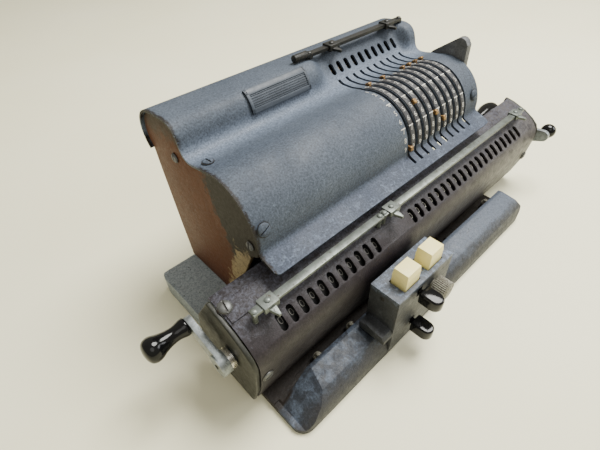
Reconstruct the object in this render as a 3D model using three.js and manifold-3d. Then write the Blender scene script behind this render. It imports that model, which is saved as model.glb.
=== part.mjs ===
// A pinwheel adding machine: an S-shaped sheet cover over a rotor with ten setting levers, and in front of
// it a carriage that slides in a channel of the cast base and carries a counter and a product register.
// Millimetres. +X runs along the machine to its right, +Y to its back and +Z up. The origin is on the flat
// underside of the base, on its cross web. The parts stand as the machine was left: some levers are set and
// the carriage is seven places to the right of its home position.
import * as THREE from "three";
import { mergeVertices } from "three/addons/utils/BufferGeometryUtils.js";
import Module from "manifold-3d";

const wasm = await Module();
wasm.setup();

// Driving dimensions.
const pitch = 8; // spacing of levers, slots, windows and dials
const digitStep = 12; // degrees a setting lever moves per digit
const zeroAngle = 67; // degrees from +Y towards +Z at which a lever shows 0
const leverDigits = [9, 0, 5, 0, 7, 8, 0, 0, 0, 0];
const counterCount = 11;
const productCount = 20;
const leverX = 14.55; // middle of the leftmost setting slot
const productX = leverX - 3 * pitch; // middle of the leftmost product window
const counterX = productX - 15 * pitch + 1; // middle of the leftmost counter window
const leverPlaces = leverDigits.map((_, i) => leverX + i * pitch);
const lastLever = leverPlaces[leverPlaces.length - 1];
const sheet = 1.5; // thickness of the sheet-metal covers
const gap = 0.4; // clearance kept between neighbouring pieces
const rotorAxis = [13, 95]; // y, z of the rotor
const crankAxis = [46, 66]; // y, z of the main crank
const clearingAxis = [-31, 46]; // y, z of the clearing crank and lever at the ends of the carriage
const dialAxis = [-35.9, 53.1]; // y, z of the carriage dials
const dialRadius = 14;
const checkAxis = [61, 123]; // y, z of the setting-check dials
const drumRadius = 32.5; // outside of the cover over the rotor
const casing = { left: -119.5, right: 106, floor: 17.5 };
const recess = { left: 4, right: 97 }; // part of the cover that is set back behind the check windows
const railHalf = 115; // half the length of the slide rail
const carriage = { left: -154.7, right: 175 };
const base = { left: -147, right: 126, front: -79, back: 79, top: 17.5, sill: 20 };
const channel = { front: -56, back: 8, floor: 5 };
const endInset = 5; // from the edge of the casing cover to the inner face of an end plate
const keyBox = { left: -69, right: -12, front: -80, back: -58.6, top: 58 };

// Materials.
const paint = (color, roughness, metalness = 0) =>
  new THREE.MeshStandardMaterial({ color, roughness, metalness });
const greyPaint = paint(0x5f6672, 0.75);
const basePaint = paint(0x59616c, 0.7);
const brownPaint = paint(0x4a4347, 0.6);
const olivePaint = paint(0x4b4a3c, 0.6);
const copperPaint = paint(0x7b563f, 0.7);
const platePaint = paint(0x3d444f, 0.5);
const nickel = paint(0x9a9d93, 0.35, 0.9);
const castMetal = paint(0xb4b8b8, 0.5, 0.8);
const steel = paint(0x6d6a63, 0.45, 0.85);
const brass = paint(0x8c6a35, 0.5, 0.8);
const black = paint(0x0c0d10, 0.15);
const ivory = paint(0xe9dfb9, 0.4);
const dialPaint = paint(0x1a1a1b, 0.5);

// Solids.
const machine = new THREE.Group();
const toWorldX = new THREE.Matrix4().makeBasis(
  new THREE.Vector3(0, 1, 0),
  new THREE.Vector3(0, 0, 1),
  new THREE.Vector3(1, 0, 0),
);
const toWorldY = new THREE.Matrix4().makeBasis(
  new THREE.Vector3(0, 0, 1),
  new THREE.Vector3(1, 0, 0),
  new THREE.Vector3(0, 1, 0),
);

function solid(geometry) {
  for (const name of Object.keys(geometry.attributes)) {
    if (name !== "position") geometry.deleteAttribute(name);
  }
  const merged = mergeVertices(geometry, 1e-4);
  const vertProperties = merged.attributes.position.array;
  const triVerts = new Uint32Array(merged.index.array);
  return new wasm.Manifold(new wasm.Mesh({ numProp: 3, vertProperties, triVerts }));
}

function geometryOf(body) {
  const mesh = body.getMesh();
  const geometry = new THREE.BufferGeometry();
  geometry.setAttribute("position", new THREE.BufferAttribute(new Float32Array(mesh.vertProperties), 3));
  geometry.setIndex(new THREE.BufferAttribute(new Uint32Array(mesh.triVerts), 1));
  const flat = geometry.toNonIndexed();
  flat.computeVertexNormals();
  return flat;
}

const join = (...bodies) => bodies.flat().reduce((a, b) => a.add(b));
const cut = (body, ...tools) => tools.flat().reduce((a, b) => a.subtract(b), body);

function box(x, y, z) {
  const geometry = new THREE.BoxGeometry(x[1] - x[0], y[1] - y[0], z[1] - z[0]);
  return solid(geometry.translate((x[0] + x[1]) / 2, (y[0] + y[1]) / 2, (z[0] + z[1]) / 2));
}

// An outline extruded along one axis. Along X its points are y, z; along Y they are z, x; along Z, x, y.
function extrude(axis, outline, from, to, curveSegments = 6) {
  const shape = outline instanceof THREE.Shape ? outline : shapeOf(outline);
  const options = { depth: to - from, bevelEnabled: false, curveSegments };
  const geometry = new THREE.ExtrudeGeometry(shape, options).translate(0, 0, from);
  if (axis === "X") geometry.applyMatrix4(toWorldX);
  if (axis === "Y") geometry.applyMatrix4(toWorldY);
  return solid(geometry);
}

function shapeOf(points) {
  return new THREE.Shape(points.map(([a, b]) => new THREE.Vector2(a, b)));
}

// A turned piece on an axis along X: each [x, radius] is a point of its half profile.
function turned(profile, [y, z], segments = 24) {
  const points = profile.map(([x, r]) => new THREE.Vector2(r, x));
  const geometry = new THREE.LatheGeometry(points, segments);
  return solid(geometry.rotateZ(-Math.PI / 2).translate(0, y, z));
}

const rod = (radius, x0, x1, centre, segments = 20) =>
  turned([[x0, 0], [x0, radius], [x1, radius], [x1, 0]], centre, segments);

function upright(radius, x, y, z0, z1, segments = 16) {
  const geometry = new THREE.CylinderGeometry(radius, radius, z1 - z0, segments);
  return solid(geometry.rotateX(Math.PI / 2).translate(x, y, (z0 + z1) / 2));
}

function pointing(radius, x, z, y0, y1, segments = 20) {
  const geometry = new THREE.CylinderGeometry(radius, radius, y1 - y0, segments);
  return solid(geometry.translate(x, (y0 + y1) / 2, z));
}

function obround(halfWidth, halfLength) {
  const shape = new THREE.Shape();
  const straight = halfLength - halfWidth;
  shape.absarc(0, straight, halfWidth, 0, Math.PI);
  shape.absarc(0, -straight, halfWidth, Math.PI, 2 * Math.PI);
  return shape;
}

// An obround punch through a sheet, its long way along the slope of the sheet at y, z.
function punch(x, [y, z], slope, halfWidth, halfLength) {
  const options = { depth: 8, bevelEnabled: false, curveSegments: 2 };
  const geometry = new THREE.ExtrudeGeometry(obround(halfWidth, halfLength), options);
  geometry.translate(0, 0, -4).rotateX(THREE.MathUtils.degToRad(slope)).translate(x, y, z);
  return solid(geometry);
}

function place(name, body, material, parent = machine) {
  const mesh = new THREE.Mesh(geometryOf(body), material);
  mesh.name = name;
  parent.add(mesh);
  return mesh;
}

const onRing = ([y, z], radius, degrees) => {
  const a = THREE.MathUtils.degToRad(degrees);
  return [y + radius * Math.cos(a), z + radius * Math.sin(a)];
};

function arc(centre, radius, from, to, steps) {
  const angles = Array.from({ length: steps + 1 }, (_, i) => from + ((to - from) * i) / steps);
  return angles.map((a) => onRing(centre, radius, a));
}

// The run of the cover, from its back edge over the hump, down into the valley, round the drum and out to
// the lip of the apron, drawn `inset` below the outside.
function coverRun(inset, setBack) {
  const r = drumRadius - inset;
  const back = arc([75, 123], 19 - inset, -40, 88, 8);
  const hump = setBack
    ? [[68, 142.5 - inset], [62 + 0.4 * inset, 139.5 - inset], [54 + 0.7 * inset, 131.6 - 0.7 * inset],
       [46.5 + 0.3 * inset, 125.2 - inset]]
    : [[66, 142.7 - inset], [57, 142.8 - inset], ...arc([56, 134], 9.5 - inset, 110, 175, 4),
       [45.5 + inset, 128 - 0.5 * inset]];
  const valley = [[41, 123.9 - inset], [34, 124.4 - inset]];
  const apron = [[-19.4 + inset, 92 - 0.6 * inset], [-33.5, 86.5 - inset]];
  return [...back, ...hump, ...valley, ...arc(rotorAxis, r, 75, 178, 14), ...apron];
}

function coverPiece(x0, x1, setBack) {
  return extrude("X", [...coverRun(0, setBack), ...coverRun(sheet, setBack).reverse()], x0, x1);
}

// The ten lever slots follow one long run over the valley, the drum and the top of the apron.
function slotCutter(x) {
  const low = [[-26, 84], [-26, 93], ...arc(rotorAxis, drumRadius + 2, 180, 75, 5)];
  const high = [[46.5, 127], [46.5, 121], ...arc(rotorAxis, drumRadius - 6, 60, 190, 4)];
  return extrude("X", [...low, ...high], x - 1.3, x + 1.3);
}

function casingCover() {
  const { left, right } = casing;
  const wall = (x) => {
    const outline = [...coverRun(0, false).slice(8, 16), ...coverRun(sheet, true).slice(8, 13).reverse()];
    return extrude("X", outline, x, x + sheet);
  };
  const whole = join(
    coverPiece(left, recess.left, false),
    coverPiece(recess.left, recess.right, true),
    coverPiece(recess.right, right, false),
    wall(recess.left - sheet / 2),
    wall(recess.right - sheet / 2),
  );
  return cut(
    whole,
    leverPlaces.map(slotCutter),
    leverPlaces.map((x) => punch(x, [54, 131.6], 40, 2, 4.5)),
  );
}

// The upright end of the casing, inside the edge of the cover.
function endOutline(inset) {
  const run = coverRun(inset, false);
  const top = run.slice(0, run.length - 2);
  return [
    [79 - inset, casing.floor + gap],
    [84 - inset, 55],
    [88.5 - inset, 95],
    ...top,
    [-16 + inset, 84],
    [-8, 80.5],
    [2, 58],
    [10, 40],
    [14, casing.floor + gap],
  ];
}

const endPlate = (x0, x1) => extrude("X", endOutline(sheet + gap), x0, x1);
const rotorBearing = (x0, x1) => rod(5 + gap, x0, x1, rotorAxis, 16);

function screwHead(radius, height) {
  const profile = [[0, 0], [0, radius], [height * 0.5, radius], [height, radius * 0.7], [height, 0]];
  const head = turned(profile, [0, 0], 10);
  return cut(head, box([height * 0.45, height + 1], [-radius, radius], [-0.5, 0.5]));
}

// A slotted screw head that stands on a surface, facing along `normal`.
function screw(name, position, normal, radius = 4, height = 1.8, parent = machine) {
  const mesh = place(name, screwHead(radius, height), nickel, parent);
  const from = new THREE.Vector3(1, 0, 0);
  mesh.quaternion.setFromUnitVectors(from, new THREE.Vector3(...normal).normalize());
  mesh.position.set(...position);
}

// Base.
{
  const { left, right, front, back, top, sill } = base;
  const corner = 9;
  const plan = new THREE.Shape();
  plan.absarc(left + corner, front + corner, corner, Math.PI, 1.5 * Math.PI);
  plan.absarc(right - corner, front + corner, corner, -0.5 * Math.PI, 0);
  plan.absarc(right - corner, back - corner, corner, 0, 0.5 * Math.PI);
  plan.absarc(left + corner, back - corner, corner, 0.5 * Math.PI, Math.PI);
  const section = [
    [front, 0], [back, 0], [back, top - 3], [back - 3, top], [channel.back, top],
    [channel.back, channel.floor], [channel.front, channel.floor], [channel.front, sill + 2],
    [channel.front - 3, sill + 3], [front + 7, sill], [front + 2, sill - 5], [front, sill - 11],
  ];
  const block = extrude("X", section, left, right).intersect(extrude("Z", plan, -1, 40, 4));
  const pocket = (x0, x1) => box([x0, x1], [channel.back + 5, back - 5], [-1, top - 4]);
  const pockets = [pocket(left + 5, -5), pocket(5, right - 5)];
  const slopes = [[-143, -119], [127, 117]].map(([foot, head]) => {
    const away = Math.sign(foot) * 160;
    const outline = [[4, foot], [4, away], [40, away], [40, head], [24, head]];
    return extrude("Y", foot < 0 ? outline : outline.reverse(), front - 5, channel.front + 3);
  });
  const notch = box(
    [keyBox.left - gap, keyBox.right + gap],
    [front - 1, keyBox.back + gap],
    [6 - gap, 40],
  );
  place("base_casting", cut(block, pockets, slopes, notch), basePaint);
}

// Casing.
place("casing_cover", casingCover(), greyPaint);
{
  // The rotor turns in a cup on the inside of the left end, and right through the right end.
  const face = casing.left + endInset;
  const cup = rod(8, face - 1, face + 5, rotorAxis, 16);
  const plate = join(endPlate(face - 3, face), cup);
  place("left_end_plate", cut(plate, rotorBearing(face, face + 6)), copperPaint);
}
{
  const x = [casing.right - endInset, casing.right - endInset + 3];
  const holes = [rotorBearing(x[0] - 1, x[1] + 1), rod(6 + gap, x[0] - 1, x[1] + 1, crankAxis, 16)];
  place("right_end_plate", cut(endPlate(...x), holes), greyPaint);
}
{
  const foot = [79 - sheet, casing.floor + gap];
  const knee = [83 - sheet, 55];
  const head = [88 - 2 * sheet, 106];
  const inner = [head, knee, foot].map(([y, z]) => [y - sheet, z]);
  const x = [casing.left + endInset + gap, casing.right - endInset - gap];
  place("back_plate", extrude("X", [foot, knee, head, ...inner], ...x), greyPaint);
}
{
  const plate = [...arc([56, 134], 11, 108, 176, 5), ...arc([56, 134], 9.5 + gap, 176, 108, 5)];
  place("nameplate", extrude("X", plate, -67, -16.5), platePaint);
}
{
  // A cast bracket outside the right end: its lug stands up above the drum, and its foot carries the crank.
  const outline = [
    [-1, 104], [0, 137], ...arc([6, 136], 5.5, 160, 60, 4), [28, 127], [45, 108],
    ...arc(crankAxis, 14, 30, -180, 9), [24, 88],
  ];
  const x0 = casing.right + gap;
  const plate = extrude("X", outline, x0, x0 + 6);
  const boss = rod(11, x0, x0 + 20, crankAxis);
  const holes = [rod(6 + gap, x0 - 1, x0 + 21, crankAxis), rod(6, x0 - 1, x0 + 4, rotorAxis)];
  place("crank_bracket", cut(join(plate, boss), holes), greyPaint);
}

// The bar of decimal markers along the top of the casing.
const topBar = { y: 61, low: 144.4, high: 146.6, halfWidth: 2.5 };
{
  const { y, low, high, halfWidth } = topBar;
  const yRange = [y - halfWidth, y + halfWidth];
  const bar = box([-6, 100], yRange, [low, high]);
  const feet = [-4, 98].map((x) => box([x, x + 3], yRange, [142.8 + gap, high]));
  const nut = rod(2.6, -17, -5, [y, (low + high) / 2 + 0.8], 12);
  place("top_decimal_bar", join(bar, feet, nut), steel);
}

// A marker that rides on a bar along X, with a finger that reaches forward to the windows.
function marker(name, x, bar, finger, parent = machine) {
  const { y, low, high, halfWidth } = bar;
  const body = box([x - 5, x + 5], [y - halfWidth - 1.6, y + halfWidth + 1.6], [low - 1.2, high + 1]);
  const way = box([x - 6, x + 6], [y - halfWidth - 0.25, y + halfWidth + 0.25], [low - 0.25, high + 0.25]);
  const edge = y - halfWidth - 1;
  const point = [[x - 2.6, edge], [x - 0.8, edge - finger], [x + 0.8, edge - finger], [x + 2.6, edge]];
  place(name, join(cut(body, way), extrude("Z", point, low - 1.2, low + 0.8)), nickel, parent);
}
marker("top_marker_left", 20, topBar, 6.5);
marker("top_marker_right", 84, topBar, 6.5);

// Rotor, setting levers and main crank.
const gearTeeth = 32;
const gearRadius = Math.hypot(crankAxis[0] - rotorAxis[0], crankAxis[1] - rotorAxis[1]) / 2;
const meshAngle = THREE.MathUtils.radToDeg(
  Math.atan2(crankAxis[1] - rotorAxis[1], crankAxis[0] - rotorAxis[0]),
);

// A spur gear; a tooth or a gap of it points along `phase` degrees.
function gear(centre, phase, toothAtPhase, x0, x1) {
  const step = 360 / gearTeeth;
  const outline = [];
  const root = gearRadius - 1.7;
  const tip = gearRadius + 1.2;
  const tooth = [[root, -0.32], [tip, -0.13], [tip, 0.13], [root, 0.32]];
  for (let i = 0; i < gearTeeth; i++) {
    const middle = phase + (i + (toothAtPhase ? 0 : 0.5)) * step;
    outline.push(...tooth.map(([radius, share]) => onRing(centre, radius, middle + share * step)));
  }
  return extrude("X", outline, x0, x1);
}

{
  // A shaft with a stepping wheel at the left, the drum that carries the levers in grooves, and a gear.
  const shaft = 5;
  const sleeve = 8;
  const wheel = { from: -106, to: -102, radius: 26 };
  const drum = { radius: 30, groove: 20, halfGroove: 1.5, from: leverX - 5, to: lastLever + 5 };
  const grooves = [];
  for (const x of leverPlaces) {
    const [a, b] = [x - drum.halfGroove, x + drum.halfGroove];
    grooves.push([a, drum.radius], [a, drum.groove], [b, drum.groove], [b, drum.radius]);
  }
  const start = casing.left + endInset + gap;
  const end = casing.right + 3;
  const profile = [
    [start, 0], [start, shaft], [wheel.from, shaft], [wheel.from, wheel.radius], [wheel.to, wheel.radius],
    [wheel.to, sleeve], [-66, sleeve], [-66, wheel.radius], [drum.from, wheel.radius],
    [drum.from, drum.radius], ...grooves, [drum.to, drum.radius], [drum.to, shaft], [end, shaft], [end, 0],
  ];
  const tooth = [...arc(rotorAxis, 30, 66, 74, 1), ...arc(rotorAxis, 24, 74, 66, 1)];
  const finger = extrude("X", tooth, wheel.from, wheel.to);
  const teeth = gear(rotorAxis, meshAngle, true, lastLever + 6, lastLever + 11);
  place("rotor", join(turned(profile, rotorAxis, 20), finger, teeth), steel);
}
leverPlaces.forEach((x, i) => {
  const ring = new THREE.Shape();
  ring.absarc(0, 0, 29.4, 0, 2 * Math.PI);
  ring.holes.push(new THREE.Path().absarc(0, 0, 20.4, 0, 2 * Math.PI, true));
  const disc = extrude("X", ring, -1, 1, 10);
  const tabOutline = [[28, -2], [35, -1.7], [35.5, -1], [35.5, 1], [35, 1.7], [28, 2]];
  const tab = extrude("X", tabOutline, -1, 1);
  const number = String(i + 1).padStart(2, "0");
  const lever = place("setting_lever_" + number, join(disc, tab), brass);
  lever.position.set(x, ...rotorAxis);
  lever.rotation.x = THREE.MathUtils.degToRad(zeroAngle + digitStep * leverDigits[i]);
});

const crankGrip = [2, 48]; // y, z of the pin that the main grip turns on
const armX = [casing.right + 30, casing.right + 37];

// A flat arm in a plane across X, round at both ends.
function arm(from, to, rFrom, rTo, x) {
  const angle = THREE.MathUtils.radToDeg(Math.atan2(to[1] - from[1], to[0] - from[0]));
  const tip = arc(to, rTo, angle - 90, angle + 90, 7);
  const root = arc(from, rFrom, angle + 90, angle + 270, 8);
  return extrude("X", [...tip, ...root], ...x);
}

// A turned handle on an axis along X, swelling away from the arm; `out` is +1 or -1.
function handle(start, length, neck, belly, centre, out, bore) {
  const outside = [
    [0, neck], [0.08, neck * 0.98], [0.3, neck * 0.86], [0.5, neck], [0.72, belly * 0.97], [0.85, belly],
    [0.95, belly * 0.82], [1, belly * 0.45], [1, 0],
  ];
  const socket = [[0.8, 0], [0.8, bore], [0, bore]];
  const profile = [...socket, ...outside].map(([t, r]) => [start + out * t * length, r]);
  return turned(out > 0 ? profile : profile.reverse(), centre, 16);
}

{
  const shaftRadius = 6;
  const wheel = gear(crankAxis, meshAngle, false, lastLever + 6.2, lastLever + 10.8);
  const shaft = rod(shaftRadius, lastLever + 6.2, armX[0] + 1, crankAxis);
  place("crank_shaft", join(wheel, shaft), steel);
  const pin = rod(2.2, armX[1] - 2, armX[1] + 44, crankGrip, 12);
  const hub = rod(11, armX[0] - 3, armX[1] + 2, crankAxis);
  const socket = rod(shaftRadius + gap, armX[0] - 4, armX[0] + 1 + gap, crankAxis);
  place("crank_arm", cut(join(arm(crankAxis, crankGrip, 11, 8, armX), hub, pin), socket), castMetal);
  place("crank_grip", handle(armX[1] + gap, 62, 6, 9, crankGrip, 1, 2.6), black);
}

// Dials on one shaft along X, as one turned body; shaft is its two ends.
function dialStack(name, axis, places, radius, core, shaft) {
  const rims = places.flatMap((x) => [[x - 3, core], [x - 3, radius], [x + 3, radius], [x + 3, core]]);
  const profile = [[shaft[0], 0], [shaft[0], core], ...rims, [shaft[1], core], [shaft[1], 0]];
  return place(name, turned(profile, axis, 12), dialPaint);
}
dialStack("check_dials", checkAxis, leverPlaces, 8.5, 3, [9, 92]);

// Carriage.
const frontRun = [
  [-13, 78.3], [-24.6, 76.2], [-36.6, 72], [-45.5, 66.9], [-50.5, 62.6],
  [-53, 57], [-53, 51], [-50.5, 30], [-44.3, 9],
];
const counterPlaces = Array.from({ length: counterCount }, (_, i) => counterX + i * pitch);
const productPlaces = Array.from({ length: productCount }, (_, i) => productX + i * pitch);
const carriageGroup = new THREE.Group();
machine.add(carriageGroup);
{
  const { left, right } = carriage;
  const end = 3; // thickness of the carriage ends
  const inner = frontRun.map(([y, z]) => [
    y + sheet * (z > 72 ? 0.2 : 1),
    z - sheet * (z > 55 ? 1 : 0),
  ]);
  const run = [...frontRun, ...inner.reverse()].reverse();
  const shell = extrude("X", run, left + end + gap, right - end - gap);
  const windows = [...counterPlaces, ...productPlaces].map((x) => punch(x, [-45.3, 66.7], 34, 2, 5));
  const relief = box([productX - 8, right], [-19, -10], [70, 80]);
  place("carriage_cover", cut(shell, windows, relief), brownPaint, carriageGroup);

  const endPiece = (name, rear, x) => {
    const plate = extrude("X", [...frontRun.slice(1), ...rear].reverse(), x, x + end);
    const hole = rod(4.5 + gap, x - 1, x + end + 1, clearingAxis, 16);
    place(name, cut(plate, hole), olivePaint, carriageGroup);
  };
  endPiece("carriage_end_left", [[-13, 9], [4.3, 30], [4.3, 38.6], [1.6, 51.4], [-15, 78.2]], left);
  endPiece("carriage_end_right", [[-20, 9], [-13, 20], [-13, 60], [-17, 77.8]], right - end);

  const beam = box([left + end + gap, right - end - gap], [-42, -19], [13, 23]);
  const groove = box([left, right], [-31, -23], [12, 17]);
  place("carriage_frame", cut(beam, groove), steel, carriageGroup);
}
place("slide_rail", box([-railHalf, railHalf], [-30.3, -23.7], [channel.floor + gap, 16.4]), steel);

const carriageBar = { y: -38.5, low: 79, high: 81, halfWidth: 2.5 };
const carriageBars = { counter_marker_bar: [-142, -37], product_marker_bar: [-36.2, 156] };
for (const [name, [from, to]] of Object.entries(carriageBars)) {
  const { y, low, high, halfWidth } = carriageBar;
  const strip = box([from, to], [y - halfWidth, y + halfWidth], [low, high]);
  const posts = [from + 1.8, to - 1.8].map((x) => upright(1.6, x, y, 72, high));
  place(name, join(strip, posts), nickel, carriageGroup);
}
marker("counter_marker", -131, carriageBar, 6.5, carriageGroup);
marker("product_marker_left", -27.5, carriageBar, 6.5, carriageGroup);
marker("product_marker_right", 144, carriageBar, 6.5, carriageGroup);

carriageGroup.add(
  dialStack("counter_dials", dialAxis, counterPlaces, dialRadius, 4, [carriage.left + 4, -30]),
  dialStack("product_dials", dialAxis, productPlaces, dialRadius, 4, [-28, carriage.right - 4]),
);

{
  // The left clearing crank, on a collar outside the carriage end.
  const x = carriage.left;
  const centre = [-2, 53.5];
  const hub = rod(7.2, x - 10, x - 4, clearingAxis);
  const collar = rod(6, x - 5, x - gap, clearingAxis);
  const shaft = rod(4.5, x - 5, x + 3.5, clearingAxis);
  const pin = rod(2, x - 30, x - 7, centre, 12);
  const body = join(arm(clearingAxis, centre, 7.2, 4.8, [x - 9, x - 5]), hub, collar, shaft, pin);
  place("clearing_crank", body, castMetal, carriageGroup);
  place("clearing_grip", handle(x - 9 - gap, 27, 5.6, 7.2, centre, -1, 2.4), black, carriageGroup);
}
{
  // The right clearing lever, with a ball on a pin.
  const x = carriage.right;
  const tip = [-57.8, 52.2];
  const body = join(
    arm(clearingAxis, tip, 8, 5, [x + 2, x + 5.5]),
    rod(8, x + gap, x + 7, clearingAxis),
    rod(4.5, x - 3.5, x + 1, clearingAxis),
    rod(2.2, x + 4, x + 14, tip, 12),
  );
  place("clearing_lever", body, castMetal, carriageGroup);
  const ball = solid(new THREE.SphereGeometry(6.5, 14, 9).translate(x + 15, ...tip));
  place("clearing_ball", cut(ball, rod(2.5, x, x + 14.5, tip, 12)), black, carriageGroup);
}

// Key housing on the front of the base.
const knobAxis = [-31, 44]; // x, z
const leverHeights = { upper_lever: 50, lower_lever: 19 };
{
  const { left, right, front, back, top } = keyBox;
  const wall = 2.5;
  const shell = cut(
    box([left, right], [front, back], [6, top]),
    box([left + wall, right - wall], [front + wall, back - wall], [0, top - wall]),
  );
  const wells = [[-60, -44], [-36, -20]].map((x) => box(x, [-77.2, -65], [top - 4, top + 1]));
  const leverSlots = Object.values(leverHeights).map((z) =>
    box([-49.4, -44.6], [front - 1, front + 4], [z - 3.8, z + 3.8]),
  );
  const flangeOutline = [[front, 23.6], [-60, 24], [-60, 29], [-66, 31], [front + 2, 29.5], [front, 27]];
  const flange = extrude("X", flangeOutline, left - 9, left + 1);
  const knobHole = pointing(3 + gap, ...knobAxis, front - 1, front + 4);
  place("key_housing", cut(join(shell, flange), wells, leverSlots, knobHole), basePaint);
}
for (const [name, x] of [["key_left", -52], ["key_right", -28]]) {
  const stem = box([x - 6.9, x + 6.9], [-76.6, -65.8], [46, 66]);
  const square = new THREE.CylinderGeometry(6.8, 7.3, 4.2, 4, 1).rotateY(Math.PI / 4).rotateX(Math.PI / 2);
  const crown = solid(square).scale([1.33, 1.04, 1]).translate([x, -71.2, 67.9]);
  place(name, join(stem, crown), ivory);
}
{
  const disc = pointing(7.9, ...knobAxis, -91, -82);
  const stem = pointing(3, ...knobAxis, -83, -77.8);
  place("knurled_knob", join(disc, stem), steel);
}
for (const [name, z] of Object.entries(leverHeights)) {
  const stem = box([-49, -45], [-84, -77.2], [z - 1.5, z + 1.5]);
  const plan = shapeOf([[-52, -82], [-52, -90]]);
  plan.absarc(-47, -91, 5, Math.PI, 2 * Math.PI);
  plan.lineTo(-42, -82);
  place(name, join(stem, extrude("Z", plan, z - 4.4, z + 4.4)), black);
}

// Screws.
const onDrum = (x, degrees, lift) => [x, ...onRing(rotorAxis, drumRadius + lift, degrees)];
const radial = (degrees) => [0, ...onRing([0, 0], 1, degrees)];
screw("cover_screw_valley", [-112.3, 29.1, 125.9], [0, 0.08, 1], 3.2, 1.2);
screw("cover_screw_left", onDrum(-113.5, 160, gap), radial(160));
screw("cover_screw_right", onDrum(99, 160, gap), radial(160));
screw("end_screw_front", [casing.left + 2 - gap, -9.2, 90.8], [-1, 0, 0], 3, 1.4);
screw("end_screw_back", [casing.left + 2 - gap, 58.7, 117], [-1, 0, 0], 3, 1.4);
screw("carriage_screw_top", [-148, -23.4, 77.2], [0, -0.17, 1], 4, 1.8, carriageGroup);
screw("carriage_screw_left", [-147, -52.6, 42.7], [0, -1, -0.12], 3.6, 1.4, carriageGroup);
screw("carriage_screw_right", [166, -51.6, 34], [0, -1, -0.12], 3.6, 1.4, carriageGroup);

// Studs and a spring that lie in the channel, in front of the carriage.
[-107, -75, 108].forEach((x, i) => {
  const foot = channel.floor + gap;
  const stud = upright(3.2, x, -51.6, foot, foot + 6, 12);
  const stem = upright(1.8, x, -51.6, foot + 5, foot + 9, 10);
  place("trough_stud_" + (i + 1), join(stud, stem), steel);
});
place("trough_spring", rod(2.6, 44, 62, [-51.8, channel.floor + 3.2], 12), steel);

export default machine;
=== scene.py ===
import math

import bmesh
import bpy
from mathutils import Matrix, Vector


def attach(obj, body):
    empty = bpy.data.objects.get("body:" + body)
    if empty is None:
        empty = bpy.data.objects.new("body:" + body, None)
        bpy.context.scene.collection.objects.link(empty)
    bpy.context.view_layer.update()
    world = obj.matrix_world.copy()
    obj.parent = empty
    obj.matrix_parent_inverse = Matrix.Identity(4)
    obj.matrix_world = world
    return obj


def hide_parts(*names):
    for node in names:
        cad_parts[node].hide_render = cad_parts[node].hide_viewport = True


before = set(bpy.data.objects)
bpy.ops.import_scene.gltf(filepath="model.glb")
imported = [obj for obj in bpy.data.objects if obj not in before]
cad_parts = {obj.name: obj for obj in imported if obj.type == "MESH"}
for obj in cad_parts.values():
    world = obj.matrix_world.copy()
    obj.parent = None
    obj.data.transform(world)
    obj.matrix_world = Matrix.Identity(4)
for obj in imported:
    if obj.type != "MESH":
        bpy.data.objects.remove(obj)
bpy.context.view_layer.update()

mm = 0.001


def linked(name, data):
    # a new object in the scene
    made = bpy.data.objects.new(name, data)
    bpy.context.scene.collection.objects.link(made)
    return made


# Camera
camera = {
    "place": (-0.2005, -0.143, 0.252), "lens": 24.12,
    "right": (0.7251, -0.6881, -0.0280), "forward": (0.4854, 0.5395, -0.6880),
}


def makeCamera():
    data = bpy.data.cameras.new("camera")
    data.sensor_width = 36
    data.lens = camera["lens"]
    data.clip_start = 0.01
    right = Vector(camera["right"]).normalized()
    back = -Vector(camera["forward"]).normalized()
    up = back.cross(right).normalized()
    right = up.cross(back)
    turn = Matrix((right, up, back)).transposed().to_4x4()
    holder = linked("camera", data)
    holder.matrix_world = Matrix.Translation(camera["place"]) @ turn
    bpy.context.scene.camera = holder


makeCamera()
print("camera made")


# Node helpers
def blankMaterial(name):
    made = bpy.data.materials.new(name)
    made.use_nodes = True
    tree = made.node_tree
    shader = next(n for n in tree.nodes if n.type == "BSDF_PRINCIPLED")
    coords = tree.nodes.new("ShaderNodeTexCoord").outputs["Object"]
    return made, tree, shader, coords


def noise(tree, coords, size, detail=4.0, rough=0.55, distort=0.0, stretch=None):
    # size is the width of a typical blotch in millimetres
    node = tree.nodes.new("ShaderNodeTexNoise")
    if stretch:
        mapping = tree.nodes.new("ShaderNodeMapping")
        mapping.inputs["Scale"].default_value = stretch
        tree.links.new(coords, mapping.inputs["Vector"])
        coords = mapping.outputs["Vector"]
    tree.links.new(coords, node.inputs["Vector"])
    node.inputs["Scale"].default_value = 1 / (size * mm)
    node.inputs["Detail"].default_value = detail
    node.inputs["Roughness"].default_value = rough
    node.inputs["Distortion"].default_value = distort
    return node.outputs[0]


def spread(tree, value, low, high, toLow=0.0, toHigh=1.0):
    node = tree.nodes.new("ShaderNodeMapRange")
    tree.links.new(value, node.inputs["Value"])
    node.inputs["From Min"].default_value = low
    node.inputs["From Max"].default_value = high
    node.inputs["To Min"].default_value = toLow
    node.inputs["To Max"].default_value = toHigh
    return node.outputs["Result"]


def blendColors(tree, factor, first, second, kind="MIX"):
    node = tree.nodes.new("ShaderNodeMix")
    node.data_type = "RGBA"
    node.blend_type = kind
    if isinstance(factor, float):
        node.inputs[0].default_value = factor
    else:
        tree.links.new(factor, node.inputs[0])
    for value, socket in ((first, node.inputs[6]), (second, node.inputs[7])):
        if isinstance(value, tuple):
            socket.default_value = (*value, 1)
        else:
            tree.links.new(value, socket)
    return node.outputs[2]


def combine(tree, kind, first, second):
    node = tree.nodes.new("ShaderNodeMath")
    node.operation = kind
    node.use_clamp = True
    for i, value in enumerate((first, second)):
        if isinstance(value, (int, float)):
            node.inputs[i].default_value = value
        else:
            tree.links.new(value, node.inputs[i])
    return node.outputs[0]


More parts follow.
